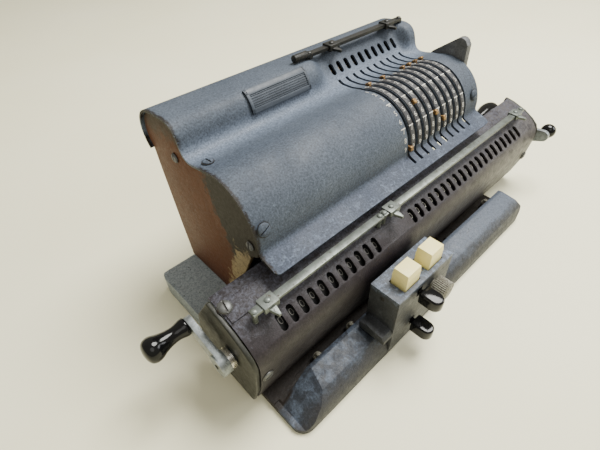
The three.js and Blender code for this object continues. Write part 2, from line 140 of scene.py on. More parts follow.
def bump(tree, shader, height, depth, strength=1.0, under=None):
    node = tree.nodes.new("ShaderNodeBump")
    tree.links.new(height, node.inputs["Height"])
    node.inputs["Distance"].default_value = depth * mm
    node.inputs["Strength"].default_value = strength
    if under:
        tree.links.new(under, node.inputs["Normal"])
    tree.links.new(node.outputs["Normal"], shader.inputs["Normal"])
    return node.outputs["Normal"]


def along(tree, coords, axis):
    node = tree.nodes.new("ShaderNodeSeparateXYZ")
    tree.links.new(coords, node.inputs[0])
    return node.outputs[axis]


def zoneMask(tree, coords, zone):
    # 0 at the first edge and 1 at the second, in millimetres along an axis
    reach = zone["wobble"] * mm
    wobble = spread(tree, noise(tree, coords, zone["size"], 5, 0.65), 0.3, 0.7, -reach, reach)
    node = tree.nodes.new("ShaderNodeMath")
    tree.links.new(along(tree, coords, zone["axis"]), node.inputs[0])
    tree.links.new(wobble, node.inputs[1])
    first, second = zone["edges"]
    mask = spread(tree, node.outputs[0], first * mm, second * mm)
    if "broken" in zone:  # it shows in blotches only
        blotch = noise(tree, coords, zone["size"] * 0.8, 6, 0.72, 0.7)
        blotch = spread(tree, blotch, zone["broken"], zone["broken"] + zone.get("fade", 0.08))
        mask = combine(tree, "MULTIPLY", mask, blotch)
    for axis, (outside, inside) in zone.get("within", ()):
        limit = spread(tree, along(tree, coords, axis), outside * mm, inside * mm)
        mask = combine(tree, "MULTIPLY", mask, limit)
    return mask


# Old enamel: broad patches, a fine crinkled grain, chips down to darker metal, and dust in the pores
def agedPaint(name, look):
    made, tree, shader, coords = blankMaterial(name)
    patch = spread(tree, noise(tree, coords, look["patch"], 6, 0.62, 0.6), *look["edges"])
    color = blendColors(tree, patch, look["main"], look["worn"])
    stain = spread(tree, noise(tree, coords, look["patch"] * 2.3, 3, 0.5), 0.45, 0.75, 0, look["stain"])
    color = blendColors(tree, stain, color, look["dark"])
    grain = noise(tree, coords, look["grain"], 3, 0.7)
    for zone in look.get("zones", ()):  # faded, rubbed or dirty places, and places of painted light or shade
        color = blendColors(tree, zoneMask(tree, coords, zone), color, zone["color"])
    speck = spread(tree, grain, 0.3, 0.72, look["speck"], 1)
    grey = tree.nodes.new("ShaderNodeCombineColor")
    for socket in grey.inputs:
        tree.links.new(speck, socket)
    color = blendColors(tree, 1.0, color, grey.outputs[0], "MULTIPLY")
    chipNoise = noise(tree, coords, look["chip"], 5, 0.7, 1.2)
    chips = spread(tree, chipNoise, look["chips"], look["chips"] + 0.02)
    color = blendColors(tree, chips, color, look["metal"])
    tree.links.new(color, shader.inputs["Base Color"])
    rough = spread(tree, noise(tree, coords, look["patch"] * 0.6, 4, 0.6), 0.3, 0.7, *look["rough"])
    tree.links.new(rough, shader.inputs["Roughness"])
    shader.inputs["Specular IOR Level"].default_value = look.get("specular", 0.4)
    grained = bump(tree, shader, grain, look["depth"])
    bump(tree, shader, chipNoise, look["depth"] * 1.5, 0.5, grained)
    return made


# Metal: dull patches, a brushed or cast grain, and rust that takes the shine away
def agedMetal(name, look):
    made, tree, shader, coords = blankMaterial(name)
    patch = spread(tree, noise(tree, coords, look["patch"], 5, 0.6, 0.4), 0.38, 0.66)
    color = blendColors(tree, patch, look["main"], look["dull"])
    rustNoise = noise(tree, coords, look["patch"] * 0.45, 6, 0.7, 0.8)
    rust = spread(tree, rustNoise, look["rusts"], look["rusts"] + 0.07)
    color = blendColors(tree, rust, color, look["rust"])
    tree.links.new(color, shader.inputs["Base Color"])
    shine = combine(tree, "SUBTRACT", look["metallic"], combine(tree, "MULTIPLY", rust, 0.7))
    tree.links.new(shine, shader.inputs["Metallic"])
    brush = noise(tree, coords, 0.5, 3, 0.6, 0, look.get("brush", (0.12, 1, 1)))
    brushed = spread(tree, brush, 0.25, 0.75, *look["rough"])
    rough = combine(tree, "ADD", brushed, combine(tree, "MULTIPLY", rust, 0.3))
    tree.links.new(rough, shader.inputs["Roughness"])
    grained = bump(tree, shader, brush, 0.02, 0.6)
    bump(tree, shader, rustNoise, look.get("depth", 0.08), 0.7, grained)
    return made


# Moulded plastic: clouded with age, with grime in its finest hollows
def moulded(name, look):
    made, tree, shader, coords = blankMaterial(name)
    cloud = spread(tree, noise(tree, coords, 9, 4, 0.6), 0.35, 0.7)
    color = blendColors(tree, cloud, look["main"], look["aged"])
    grime = spread(tree, noise(tree, coords, 3, 6, 0.75, 0.5), 0.6, 0.78, 0, look["grime"])
    color = blendColors(tree, grime, color, look["dirt"])
    tree.links.new(color, shader.inputs["Base Color"])
    rough = spread(tree, noise(tree, coords, 2.2, 6, 0.7), 0.3, 0.75, *look["rough"])
    tree.links.new(rough, shader.inputs["Roughness"])
    shader.inputs["Specular IOR Level"].default_value = look["specular"]
    shader.inputs["Coat Weight"].default_value = look["coat"]
    shader.inputs["Coat Roughness"].default_value = 0.12
    shader.inputs["Subsurface Weight"].default_value = look.get("soft", 0)
    shader.inputs["Subsurface Radius"].default_value = (0.002, 0.0014, 0.0008)
    bump(tree, shader, noise(tree, coords, 1.2, 4, 0.6), 0.03, 0.5)
    return made


# Colours are linear; patch, grain and chip are blotch widths and depth the relief, in millimetres
digitPaint = {
    "patch": 3, "edges": (0.4, 0.75), "stain": 0.5, "grain": 0.5, "speck": 0.8, "chip": 1.5, "chips": 0.72,
    "rough": (0.5, 0.7), "depth": 0.01,
}
looks = {
    "casing": {
        "main": (0.072, 0.092, 0.128), "worn": (0.108, 0.132, 0.172), "dark": (0.045, 0.057, 0.080),
        "metal": (0.020, 0.020, 0.024), "patch": 42, "edges": (0.35, 0.75), "stain": 0.5, "grain": 1.2,
        "speck": 0.34, "chip": 2, "chips": 0.715, "rough": (0.5, 0.7), "depth": 0.18, "specular": 0.3,
        "zones": (
            # the apron, its rubbed patches, spots below the hump, chips along the left edge, and the valley
            # lightened as painted light falling from the front
            {"axis": "Y", "edges": (-18.6, -21.4), "wobble": 0.5, "size": 3, "color": (0.068, 0.086, 0.128)},
            {"axis": "Y", "edges": (-22, -26), "wobble": 3, "size": 5,
             "broken": 0.52, "color": (0.130, 0.165, 0.235)},
            {"axis": "Z", "edges": (134, 128), "wobble": 2, "size": 6,
             "broken": 0.62, "color": (0.130, 0.165, 0.220)},
            {"axis": "X", "edges": (-117.2, -118.6), "wobble": 1, "size": 3,
             "broken": 0.36, "color": (0.016, 0.013, 0.012)},
            # painted light: the valley is lighter as if lit from the front
            {"axis": "Y", "edges": (27, 38), "wobble": 2, "size": 8, "color": (0.160, 0.200, 0.272),
             "within": (("Z", (133, 127)), ("Z", (118, 122)))},
        ),
    },
    "bracket": {
        "main": (0.105, 0.108, 0.115), "worn": (0.190, 0.200, 0.220), "dark": (0.060, 0.052, 0.045),
        "metal": (0.120, 0.080, 0.050), "patch": 9, "edges": (0.4, 0.72), "stain": 0.6, "grain": 1.1,
        "speck": 0.5, "chip": 3, "chips": 0.68, "rough": (0.45, 0.65), "depth": 0.14,
    },
    "base": {
        "main": (0.032, 0.039, 0.055), "worn": (0.092, 0.118, 0.166), "dark": (0.019, 0.022, 0.029),
        "metal": (0.018, 0.018, 0.023), "patch": 7, "edges": (0.46, 0.62), "stain": 0.8, "grain": 1.2,
        "speck": 0.40, "chip": 2.5, "chips": 0.64, "rough": (0.42, 0.68), "depth": 0.22,
        "zones": (
            # the paler right part, the rear, paler and brightened further as painted light where the casing
            # shades it, the front face, and painted shade low in the trough
            {"axis": "X", "edges": (-10, 30), "wobble": 9, "size": 14, "color": (0.112, 0.135, 0.178)},
            # painted light: the rear is made much paler where the casing shades it
            {"axis": "Y", "edges": (4, 9), "wobble": 1, "size": 6, "color": (0.370, 0.420, 0.450)},
            {"axis": "Y", "edges": (-70, -77), "wobble": 3, "size": 6, "color": (0.038, 0.039, 0.046)},
            # painted shade: dark low in the trough, where the channel lies in shadow
            {"axis": "Z", "edges": (14, 9), "wobble": 2, "size": 5, "color": (0.020, 0.014, 0.011),
             "within": (("Y", (-59, -57)), ("Y", (9, 8)))},
        ),
    },
    "carriage": {
        "main": (0.026, 0.020, 0.0235), "worn": (0.044, 0.037, 0.043), "dark": (0.016, 0.013, 0.015),
        "metal": (0.070, 0.075, 0.095), "patch": 9, "edges": (0.42, 0.78), "stain": 0.5, "grain": 1.2,
        "speck": 0.42, "chip": 3, "chips": 0.70, "rough": (0.38, 0.6), "depth": 0.18, "specular": 0.35,
        "zones": (
            # worn and lighter towards the right end, partly painted light from the right; faded low on the
            # front; and rubbed on top by the apron
            # partly painted light: the right end made lighter as if lit from the right, mixed with wear
            {"axis": "X", "edges": (20, 150), "wobble": 9, "size": 9,
             "broken": 0.42, "color": (0.084, 0.075, 0.074)},
            {"axis": "Z", "edges": (55, 35), "wobble": 6, "size": 14,
             "broken": 0.42, "color": (0.040, 0.036, 0.040)},
            {"axis": "Y", "edges": (-44, -36), "wobble": 4, "size": 3,
             "broken": 0.40, "fade": 0.26, "color": (0.105, 0.108, 0.142)},
        ),
    },
    "olive": {
        "main": (0.015, 0.016, 0.010), "worn": (0.026, 0.028, 0.018), "dark": (0.008, 0.007, 0.005),
        "metal": (0.140, 0.120, 0.080), "patch": 8, "edges": (0.42, 0.75), "stain": 0.5, "grain": 0.9,
        "speck": 0.6, "chip": 3, "chips": 0.69, "rough": (0.4, 0.6), "depth": 0.10,
    },
    "housing": {
        # the dark main colour is partly painted shade on the sides
        "main": (0.040, 0.043, 0.049), "worn": (0.075, 0.083, 0.096), "dark": (0.018, 0.018, 0.020),
        "metal": (0.120, 0.135, 0.160), "patch": 6, "edges": (0.46, 0.70), "stain": 0.6, "grain": 1.0,
        "speck": 0.45, "chip": 2.5, "chips": 0.70, "rough": (0.42, 0.62), "depth": 0.15,
        "zones": (
            # the paler top, partly painted light falling from above, rubbed through in places
            {"axis": "Z", "edges": (55, 57.5), "wobble": 0.8, "size": 3, "color": (0.085, 0.098, 0.125)},
            {"axis": "Z", "edges": (54, 57), "wobble": 1, "size": 5,
             "broken": 0.50, "color": (0.170, 0.215, 0.300)},
        ),
    },
    "band": {
        "main": (0.036, 0.035, 0.039), "worn": (0.085, 0.089, 0.100), "dark": (0.020, 0.016, 0.015),
        "metal": (0.110, 0.058, 0.025), "patch": 5, "edges": (0.4, 0.72), "stain": 0.6, "grain": 0.7,
        "speck": 0.5, "chip": 3, "chips": 0.66, "rough": (0.45, 0.65), "depth": 0.06,
    },
    "faded": {
        **digitPaint, "main": (0.130, 0.125, 0.115), "worn": (0.075, 0.072, 0.065),
        "dark": (0.050, 0.048, 0.042), "metal": (0.080, 0.075, 0.065),
    },
    "brassInk": {
        **digitPaint, "main": (0.420, 0.290, 0.130), "worn": (0.200, 0.130, 0.060),
        "dark": (0.050, 0.040, 0.030), "metal": (0.080, 0.060, 0.040),
    },
    "plate": {
        "main": (0.055, 0.069, 0.092), "worn": (0.085, 0.102, 0.130), "dark": (0.028, 0.035, 0.047),
        "metal": (0.110, 0.120, 0.140), "patch": 12, "edges": (0.4, 0.75), "stain": 0.4, "grain": 0.8,
        "speck": 0.7, "chip": 4, "chips": 0.75, "rough": (0.4, 0.6), "depth": 0.05,
    },
    "wheel": {
        "main": (0.007, 0.007, 0.008), "worn": (0.014, 0.014, 0.014), "dark": (0.004, 0.004, 0.004),
        "metal": (0.120, 0.100, 0.080), "patch": 5, "edges": (0.4, 0.75), "stain": 0.4, "grain": 0.6,
        "speck": 0.7, "chip": 3, "chips": 0.76, "rough": (0.5, 0.7), "depth": 0.03, "specular": 0.12,
    },
    "ink": {
        **digitPaint, "main": (0.760, 0.750, 0.700), "worn": (0.560, 0.540, 0.490),
        "dark": (0.330, 0.310, 0.270), "metal": (0.300, 0.280, 0.250), "stain": 0.4,
    },
}
metalLooks = {
    "nickel": {
        "main": (0.160, 0.180, 0.168), "dull": (0.092, 0.102, 0.090), "rust": (0.045, 0.036, 0.024),
        "rusts": 0.58, "patch": 5, "metallic": 0.45, "rough": (0.32, 0.5),
    },
    "tarnished": {
        "main": (0.016, 0.017, 0.016), "dull": (0.009, 0.009, 0.008), "rust": (0.020, 0.012, 0.008),
        "rusts": 0.56, "patch": 5, "metallic": 0.4, "rough": (0.34, 0.52),
    },
    "screw": {
        "main": (0.115, 0.120, 0.118), "dull": (0.065, 0.066, 0.063), "rust": (0.040, 0.032, 0.024),
        "rusts": 0.56, "patch": 3, "metallic": 0.4, "rough": (0.32, 0.5),
    },
    "steel": {
        "main": (0.160, 0.156, 0.145), "dull": (0.085, 0.078, 0.070), "rust": (0.060, 0.032, 0.017),
        "rusts": 0.54, "patch": 5, "metallic": 0.6, "rough": (0.32, 0.55),
    },
    # dark oiled steel; the same dark is also painted shade in the screw seats
    "oiledAndShade": {
        "main": (0.016, 0.014, 0.012), "dull": (0.009, 0.008, 0.007), "rust": (0.022, 0.011, 0.006),
        "rusts": 0.56, "patch": 5, "metallic": 0.1, "rough": (0.5, 0.7),
    },
    "bright": {
        "main": (0.780, 0.760, 0.700), "dull": (0.500, 0.480, 0.420), "rust": (0.120, 0.075, 0.045),
        "rusts": 0.64, "patch": 4, "metallic": 1.0, "rough": (0.12, 0.3),
    },
    "arm": {
        "main": (0.320, 0.352, 0.364), "dull": (0.180, 0.195, 0.198), "rust": (0.056, 0.050, 0.040),
        "rusts": 0.60, "patch": 3.5, "metallic": 0.7, "rough": (0.34, 0.5), "brush": (1, 1, 1),
        "depth": 0.12,
    },
    "corroded": {
        "main": (0.270, 0.262, 0.215), "dull": (0.140, 0.132, 0.105), "rust": (0.045, 0.034, 0.024),
        "rusts": 0.52, "patch": 2.2, "metallic": 0.3, "rough": (0.45, 0.7), "depth": 0.25,
    },
    "tab": {
        "main": (0.420, 0.250, 0.085), "dull": (0.120, 0.060, 0.028), "rust": (0.020, 0.012, 0.008),
        "rusts": 0.50, "patch": 1.6, "metallic": 0.6, "rough": (0.3, 0.55), "depth": 0.12,
    },
}
mouldedLooks = {
    "ivory": {
        "main": (0.950, 0.850, 0.400), "aged": (0.920, 0.790, 0.320), "dirt": (0.450, 0.340, 0.140),
        "grime": 0.35, "rough": (0.36, 0.5), "coat": 0.05, "soft": 0.1, "specular": 0.3,
    },
    "black": {
        "main": (0.003, 0.003, 0.0035), "aged": (0.005, 0.005, 0.005), "dirt": (0.020, 0.019, 0.018),
        "grime": 0.12, "rough": (0.06, 0.16), "coat": 0.0, "specular": 0.28,
    },
}
paint = {name: agedPaint(name, look) for name, look in looks.items()}
paint.update({name: agedMetal(name, look) for name, look in metalLooks.items()})
paint.update({name: moulded(name, look) for name, look in mouldedLooks.items()})


# The left end: copper-brown primer, grey along the drum and at the top, ochre along the front of the foot.
# A line is its shares of Y and Z, then where it starts and ends
copper = {
    "main": ((0.082, 0.027, 0.0105), (0.108, 0.038, 0.016)), "grey": (0.030, 0.026, 0.022),
    "ochre": (0.360, 0.280, 0.160), "spot": (0.018, 0.014, 0.011), "top": (0.034, 0.026, 0.020),
    "greyLine": ((1, -0.30), (-4, -9)), "topLine": ((0, 1), (124, 134)),
    "ochreLine": ((0.944, 0.33), (34, 30)), "footLine": ((0, 1), (80, 74)), "wander": 7,
}


def slantedMask(tree, coords, line, wobble):
    # 0 to 1 across a line with a wandering edge
    shares, (first, second) = line
    total = wobble
    for axis, share in zip(("Y", "Z"), shares):
        part = tree.nodes.new("ShaderNodeMath")
        part.operation = "MULTIPLY_ADD"
        tree.links.new(along(tree, coords, axis), part.inputs[0])
        part.inputs[1].default_value = share
        tree.links.new(total, part.inputs[2])
        total = part.outputs[0]
    return spread(tree, total, first * mm, second * mm)


def copperEnd():
    made, tree, shader, coords = blankMaterial("copperEnd")
    cloud = noise(tree, coords, 14, 6, 0.65, 0.8)
    fine = noise(tree, coords, 2.5, 5, 0.7, 1.0)
    wander = copper["wander"] * mm
    wobble = spread(tree, noise(tree, coords, 9, 6, 0.7, 0.5), 0.3, 0.7, -wander, wander)
    color = blendColors(tree, spread(tree, cloud, 0.35, 0.7), *copper["main"])
    grey = slantedMask(tree, coords, copper["greyLine"], wobble)
    color = blendColors(tree, grey, color, copper["grey"])
    top = combine(tree, "MULTIPLY", slantedMask(tree, coords, copper["topLine"], wobble), 0.8)
    color = blendColors(tree, top, color, copper["top"])
    foot = slantedMask(tree, coords, copper["ochreLine"], wobble)
    foot = combine(tree, "MULTIPLY", foot, slantedMask(tree, coords, copper["footLine"], wobble))
    foot = combine(tree, "MULTIPLY", foot, spread(tree, fine, 0.36, 0.5, 0.3, 1))
    color = blendColors(tree, foot, color, copper["ochre"])
    spots = spread(tree, noise(tree, coords, 6, 6, 0.75, 1.5), 0.66, 0.69)
    color = blendColors(tree, spots, color, copper["spot"])
    tree.links.new(color, shader.inputs["Base Color"])
    tree.links.new(spread(tree, fine, 0.3, 0.7, 0.5, 0.75), shader.inputs["Roughness"])
    shader.inputs["Specular IOR Level"].default_value = 0.25
    bump(tree, shader, fine, 0.15, 0.8)
    return made


paint["copperEnd"] = copperEnd()
print("materials made")


# Mesh helpers: places are in millimetres
def finish(bm, name, body, look, replaces=(), sharp=35, clean=True):
    if clean:
        bmesh.ops.remove_doubles(bm, verts=bm.verts, dist=0.0005 * mm)
        bmesh.ops.recalc_face_normals(bm, faces=bm.faces)
    for face in bm.faces:
        face.smooth = True
    for edge in bm.edges:
        edge.smooth = edge.calc_face_angle(0) < math.radians(sharp)
    mesh = bpy.data.meshes.new(name)
    bm.to_mesh(mesh)
    bm.free()
    mesh.materials.append(paint[look])
    piece = linked(name, mesh)
    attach(piece, body)
    if replaces:
        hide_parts(*replaces)


def point(axis, a, b, at):
    # the outline's a, b and its place along the axis, as a point in metres
    return {"X": Vector((at, a, b)), "Y": Vector((b, at, a)), "Z": Vector((a, b, at))}[axis] * mm


def prism(axis, outline, low, high):
    bm = bmesh.new()
    corners = [bm.verts.new(point(axis, a, b, low)) for a, b in outline]
    face = bm.faces.new(corners)
    grown = bmesh.ops.extrude_face_region(bm, geom=[face])["geom"]
    far = [v for v in grown if isinstance(v, bmesh.types.BMVert)]
    bmesh.ops.translate(bm, verts=far, vec=point(axis, 0, 0, high - low))
    bmesh.ops.recalc_face_normals(bm, faces=bm.faces)
    return bm


def block(x, y, z):
    return prism("Z", [(x[0], y[0]), (x[1], y[0]), (x[1], y[1]), (x[0], y[1])], *z)


def turned(profile, centre, segments=40, axis="X"):
    # profile holds (place along the axis, radius); it ends on the axis, or where it began
    bm = bmesh.new()
    a, b = centre
    chain = [bm.verts.new(point(axis, a, b + r, at)) for at, r in profile]
    edges = [bm.edges.new(pair) for pair in zip(chain, chain[1:])]
    pivot = point(axis, a, b, 0)
    aim = point(axis, 0, 0, 1).normalized()
    bmesh.ops.spin(
        bm, geom=chain + edges, cent=pivot, axis=aim, angle=2 * math.pi, steps=segments, use_merge=True,
    )
    bmesh.ops.remove_doubles(bm, verts=bm.verts, dist=0.001 * mm)
    bmesh.ops.recalc_face_normals(bm, faces=bm.faces)
    return bm


def soften(bm, width, segments=2, above=30):
    bm.normal_update()
    edges = [e for e in bm.edges if e.is_manifold and e.calc_face_angle(0) > math.radians(above)]
    bmesh.ops.bevel(
        bm, geom=edges, offset=width * mm, offset_type="OFFSET", segments=segments, profile=0.5,
        affect="EDGES", clamp_overlap=True, material=-1,
    )
    return bm


def merged(node):
    # a joined-up copy of a CAD node's loose triangles, with its flat faces whole
    bm = bmesh.new()
    bm.from_mesh(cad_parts[node].data)
    bmesh.ops.remove_doubles(bm, verts=bm.verts, dist=0.002 * mm)
    bmesh.ops.dissolve_limit(bm, angle_limit=math.radians(1), verts=bm.verts, edges=bm.edges)
    return bm


def refined(node, body, look, width=0.5, segments=2, above=30):
    # a CAD node's shape with its edges rounded
    finish(soften(merged(node), width, segments, above), node + "_piece", body, look, [node])


def joined(first, *others):
    for other in others:
        mesh = bpy.data.meshes.new("joining")
        other.to_mesh(mesh)
        other.free()
        first.from_mesh(mesh)
        bpy.data.meshes.remove(mesh)
    return first


def carved(bm, cutter):
    # bm with the cutter's space taken out of it
    holders = []
    for name, source in (("carved", bm), ("cutter", cutter)):
        mesh = bpy.data.meshes.new(name)
        source.to_mesh(mesh)
        source.free()
        holders.append(linked(name, mesh))
    whole, tool = holders
    change = whole.modifiers.new("cut", "BOOLEAN")
    change.operation = "DIFFERENCE"
    change.solver = "EXACT"
    change.object = tool
    graph = bpy.context.evaluated_depsgraph_get()
    result = bmesh.new()
    result.from_mesh(whole.evaluated_get(graph).to_mesh())
    for holder in holders:
        mesh = holder.data
        bpy.data.objects.remove(holder)
        bpy.data.meshes.remove(mesh)
    return result


def arc(centre, radius, start, end, steps):
    turns = [math.radians(start + (end - start) * i / steps) for i in range(steps + 1)]
    return [(centre[0] + radius * math.cos(t), centre[1] + radius * math.sin(t)) for t in turns]


def smoothRun(points, steps=4):
    # a curve through every point
    ends = [points[0]] + list(points) + [points[-1]]
    run = []
    for p0, p1, p2, p3 in zip(ends, ends[1:], ends[2:], ends[3:]):
        for i in range(steps):
            t = i / steps
            run.append(tuple(
                0.5 * (
                    2 * b + (c - a) * t + (2 * a - 5 * b + 4 * c - d) * t**2
                    + (3 * b - a - 3 * c + d) * t**3
                )
                for a, b, c, d in zip(p0, p1, p2, p3)
            ))
    return run + [points[-1]]


def offset(run, distance):
    # the run moved sideways, to the left of its direction when distance is positive
    moved = []
    for i, (a, b) in enumerate(run):
        before, after = run[max(i - 1, 0)], run[min(i + 1, len(run) - 1)]
        da, db = after[0] - before[0], after[1] - before[1]
        size = math.hypot(da, db)
        moved.append((a - db / size * distance, b + da / size * distance))
    return moved


glyphs = {}


def glyph(text, size):
    # a thin raised digit in the XY plane, centred
    if text not in glyphs:
        curve = bpy.data.curves.new("digit", "FONT")
        curve.body = text
        curve.size = 1
        curve.align_x = "CENTER"
        curve.align_y = "CENTER"
        curve.extrude = 0.03
        curve.offset = -0.018
        curve.resolution_u = 4
        holder = linked("digit", curve)
        graph = bpy.context.evaluated_depsgraph_get()
        glyphs[text] = bpy.data.meshes.new_from_object(holder.evaluated_get(graph))
        bpy.data.objects.remove(holder)
    bm = bmesh.new()
    bm.from_mesh(glyphs[text])
    bmesh.ops.scale(bm, verts=bm.verts, vec=(size * mm, size * mm, size * mm))
    return bm


def onCylinder(bm, x, centre, radius, degrees):
    # lays a flat digit on a cylinder along X, its top towards smaller angles
    t = math.radians(degrees)
    out = Vector((0, math.cos(t), math.sin(t)))
    up = Vector((0, math.sin(t), -math.cos(t)))
    turn = Matrix((Vector((1, 0, 0)), up, out)).transposed().to_4x4()
    place = Vector((x, centre[0] + radius * math.cos(t), centre[1] + radius * math.sin(t))) * mm
    bmesh.ops.transform(bm, matrix=Matrix.Translation(place) @ turn, verts=bm.verts)
    return bm


# Driving sizes shared by the pieces
digits = {
    "pitch": 8, "firstLever": 14.55, "firstProduct": -9.45, "firstCounter": -128.45,
    "levers": (9, 0, 5, 0, 7, 8, 0, 0, 0, 0), "zero": 67, "step": 12,
}
rotor = {"centre": (13, 95), "drum": 32.5}
dialCentre = (-35.9, 53.1)


def columns(first, count):
    return [digits[first] + digits["pitch"] * i for i in range(count)]


leverPlaces = columns("firstLever", 10)
counterPlaces = columns("firstCounter", 11)
productPlaces = columns("firstProduct", 20)

# Casing
casing = {
    "left": -119.5, "right": 106, "sheet": 1.5, "corner": 3.5, "recess": (-8, 7, 90, 99),
    "slot": 1.3, "slotEnds": (-27, 47.5), "slotTop": 128, "valley": 30,
    "window": (2.1, 4.6), "windowPlace": (54, 131.7), "windowSlope": 43,
    "lipPoints": 9, "cornerCuts": (0.2, 0.7, 1.5, 2.6, 4),
}


def casingRun(setBack):
    # the sheet's outer line from back to front; setBack is how far the hump is scooped out, 0 to 1
    back = arc((75, 123), 19, -40, 84, 18)
    full = [(70, 142.7), (63, 143), (57, 142.9), (51.5, 141), (48, 137), (46.2, 132.5), (45, 128.5),
            (43, 125.6), (39.5, 124.1), (34, 124.3), (28, 125.5)]
    scooped = [(72, 142.4), (67, 142.2), (62.5, 139.9), (58, 135.6), (54, 131.7), (50.2, 128.2),
               (46.5, 125.4), (43, 124.2), (39.5, 124.1), (34, 124.3), (28, 125.5)]
    hump = [tuple(f + (s - f) * setBack for f, s in zip(a, b)) for a, b in zip(full, scooped)]
    apron = smoothRun([(-19.5, 95), (-19.7, 93), (-20.9, 91.4), (-24, 90), (-28.5, 88.3), (-33.5, 86.4)], 3)
    return back + smoothRun(hump, 4) + arc(rotor["centre"], rotor["drum"], 75, 178, 44) + apron


def scoop(x):
    # 1 within the recess for the windows and 0 outside it, with smooth sides
    a, b, c, d = casing["recess"]
    t = min(max((x - a) / (b - a), 0), 1) * min(max((d - x) / (d - c), 0), 1)
    return t * t * (3 - 2 * t)


def casingOutline(x):
    run = casingRun(scoop(x))
    radius = casing["corner"]
    inside = max(radius - min(x - casing["left"], casing["right"] - x), 0)
    cutBack = radius - math.sqrt(radius**2 - inside**2)  # how far the lip stops short at a rounded corner
    count = casing["lipPoints"]
    lip, root = run[-1], run[-count - 1]
    reach = 1 - cutBack / math.dist(lip, root)
    run[-count:] = [tuple(r + (p - r) * reach for p, r in zip(place, root)) for place in run[-count:]]
    return run + offset(run, casing["sheet"])[::-1]


def coverShell():
    # the outline carried along X, changing at the recess and drawn in at the lip's corners
    a, b, c, d = casing["recess"]
    cuts = casing["cornerCuts"]
    left = [casing["left"] + step for step in cuts + (5.5, 7)] + [-60]
    left += [a + (b - a) * i / 8 for i in range(9)]
    right = [30, 60] + [c + (d - c) * i / 6 for i in range(7)] + [100.5]
    right += [casing["right"] - step for step in cuts[::-1] + (0,)]
    bm = bmesh.new()
    ring = [bm.verts.new(point("X", y, z, casing["left"])) for y, z in casingOutline(casing["left"])]
    edges = [bm.edges.new(pair) for pair in zip(ring, ring[1:] + ring[:1])]
    bmesh.ops.contextual_create(bm, geom=edges)
    for x in left + right:
        grown = bmesh.ops.extrude_edge_only(bm, edges=edges)["geom"]
        moved = [v for v in grown if isinstance(v, bmesh.types.BMVert)]
        edges = [e for e in grown if isinstance(e, bmesh.types.BMEdge)]
        for vert, (y, z) in zip(moved, casingOutline(x)):
            vert.co = point("X", y, z, x)
    bmesh.ops.contextual_create(bm, geom=edges)
    bmesh.ops.recalc_face_normals(bm, faces=bm.faces)
    return bm


def slotTool(x):
    # a lever's slot, from low on the hump over the drum to the apron
    front, back = casing["slotEnds"]
    run = [
        p for p in casingRun(1)
        if front < p[0] < back and (p[1] < casing["slotTop"] or p[0] < casing["valley"])
    ]
    outline = offset(run, -5) + offset(run, 4)[::-1]
    return prism("X", outline, x - casing["slot"], x + casing["slot"])


def windowTool(x, spec, reach=4):
    # a slot with round ends, turned to the slope of the sheet
    wide, long = spec["window"]
    outline = arc((0, long - wide), wide, 0, 180, 10) + arc((0, wide - long), wide, 180, 360, 10)
    bm = prism("Z", outline, -reach, reach)
    turn = Matrix.Rotation(math.radians(spec["windowSlope"]), 4, "X")
    place = Matrix.Translation(Vector((x, *spec["windowPlace"])) * mm)
    bmesh.ops.transform(bm, matrix=place @ turn, verts=bm.verts)
    return bm


def makeCasing():
    tools = [slotTool(x) for x in leverPlaces]
    tools += [windowTool(x, casing) for x in leverPlaces]
    shell = soften(carved(coverShell(), joined(*tools)), 0.35, 2, 50)
    finish(shell, "casingShell", "machine", "casing", ["casing_cover"])
    refined("left_end_plate", "machine", "copperEnd", 0.4)
    for node in ("right_end_plate", "back_plate"):
        refined(node, "machine", "casing", 0.4)
    refined("crank_bracket", "machine", "bracket", 1.2, 3)


makeCasing()
print("casing made")

# Digit bands between the slots, each with ten digits and two cross lines; the first column has no band
band = {
    "half": 2.3, "rise": 0.7, "from": 66, "to": 178, "digit": 5.2,
    "lines": (114.5, 148.5), "lineHalf": 2.1, "lineTurn": 0.55,
}


def makeBands():
    strips = []
    marks = []
    centre, drum = rotor["centre"], rotor["drum"]
    half, turn, lineHalf = band["half"], band["lineTurn"], band["lineHalf"]
    outline = arc(centre, drum + band["rise"], band["from"], band["to"], 36)
    outline += arc(centre, drum - 0.3, band["to"], band["from"], 36)
    for x in leverPlaces:
        middle = x - digits["pitch"] / 2
        rise = band["rise"] if x > leverPlaces[0] else 0
        if rise:
            strips.append(soften(prism("X", outline, middle - half, middle + half), 0.45, 2, 50))
        for value in range(10):
            angle = digits["zero"] + 3 + (digits["step"] - 0.3) * value
            mark = glyph(str(value), band["digit"])
            marks.append(onCylinder(mark, middle, centre, drum + rise + 0.02, angle))
        for angle in band["lines"]:
            top = arc(centre, drum + rise + 0.18, angle - turn, angle + turn, 2)
            foot = arc(centre, drum + rise - 0.2, angle + turn, angle - turn, 2)
            marks.append(prism("X", top + foot, middle - lineHalf, middle + lineHalf))
    finish(joined(*strips), "digitBands", "machine", "band")
    finish(joined(*marks), "bandDigits", "machine", "ink", clean=False)


makeBands()

# Setting levers: a disc in its groove, with a tab that stands out through the slot
lever = {
    "disc": 29.4, "bore": 20.4, "half": 1.0,
    "head": 33.9, "tip": 35.4, "wide": 1.9, "headHalf": 1.5, "stem": 1.5, "chamfer": 0.5,
}


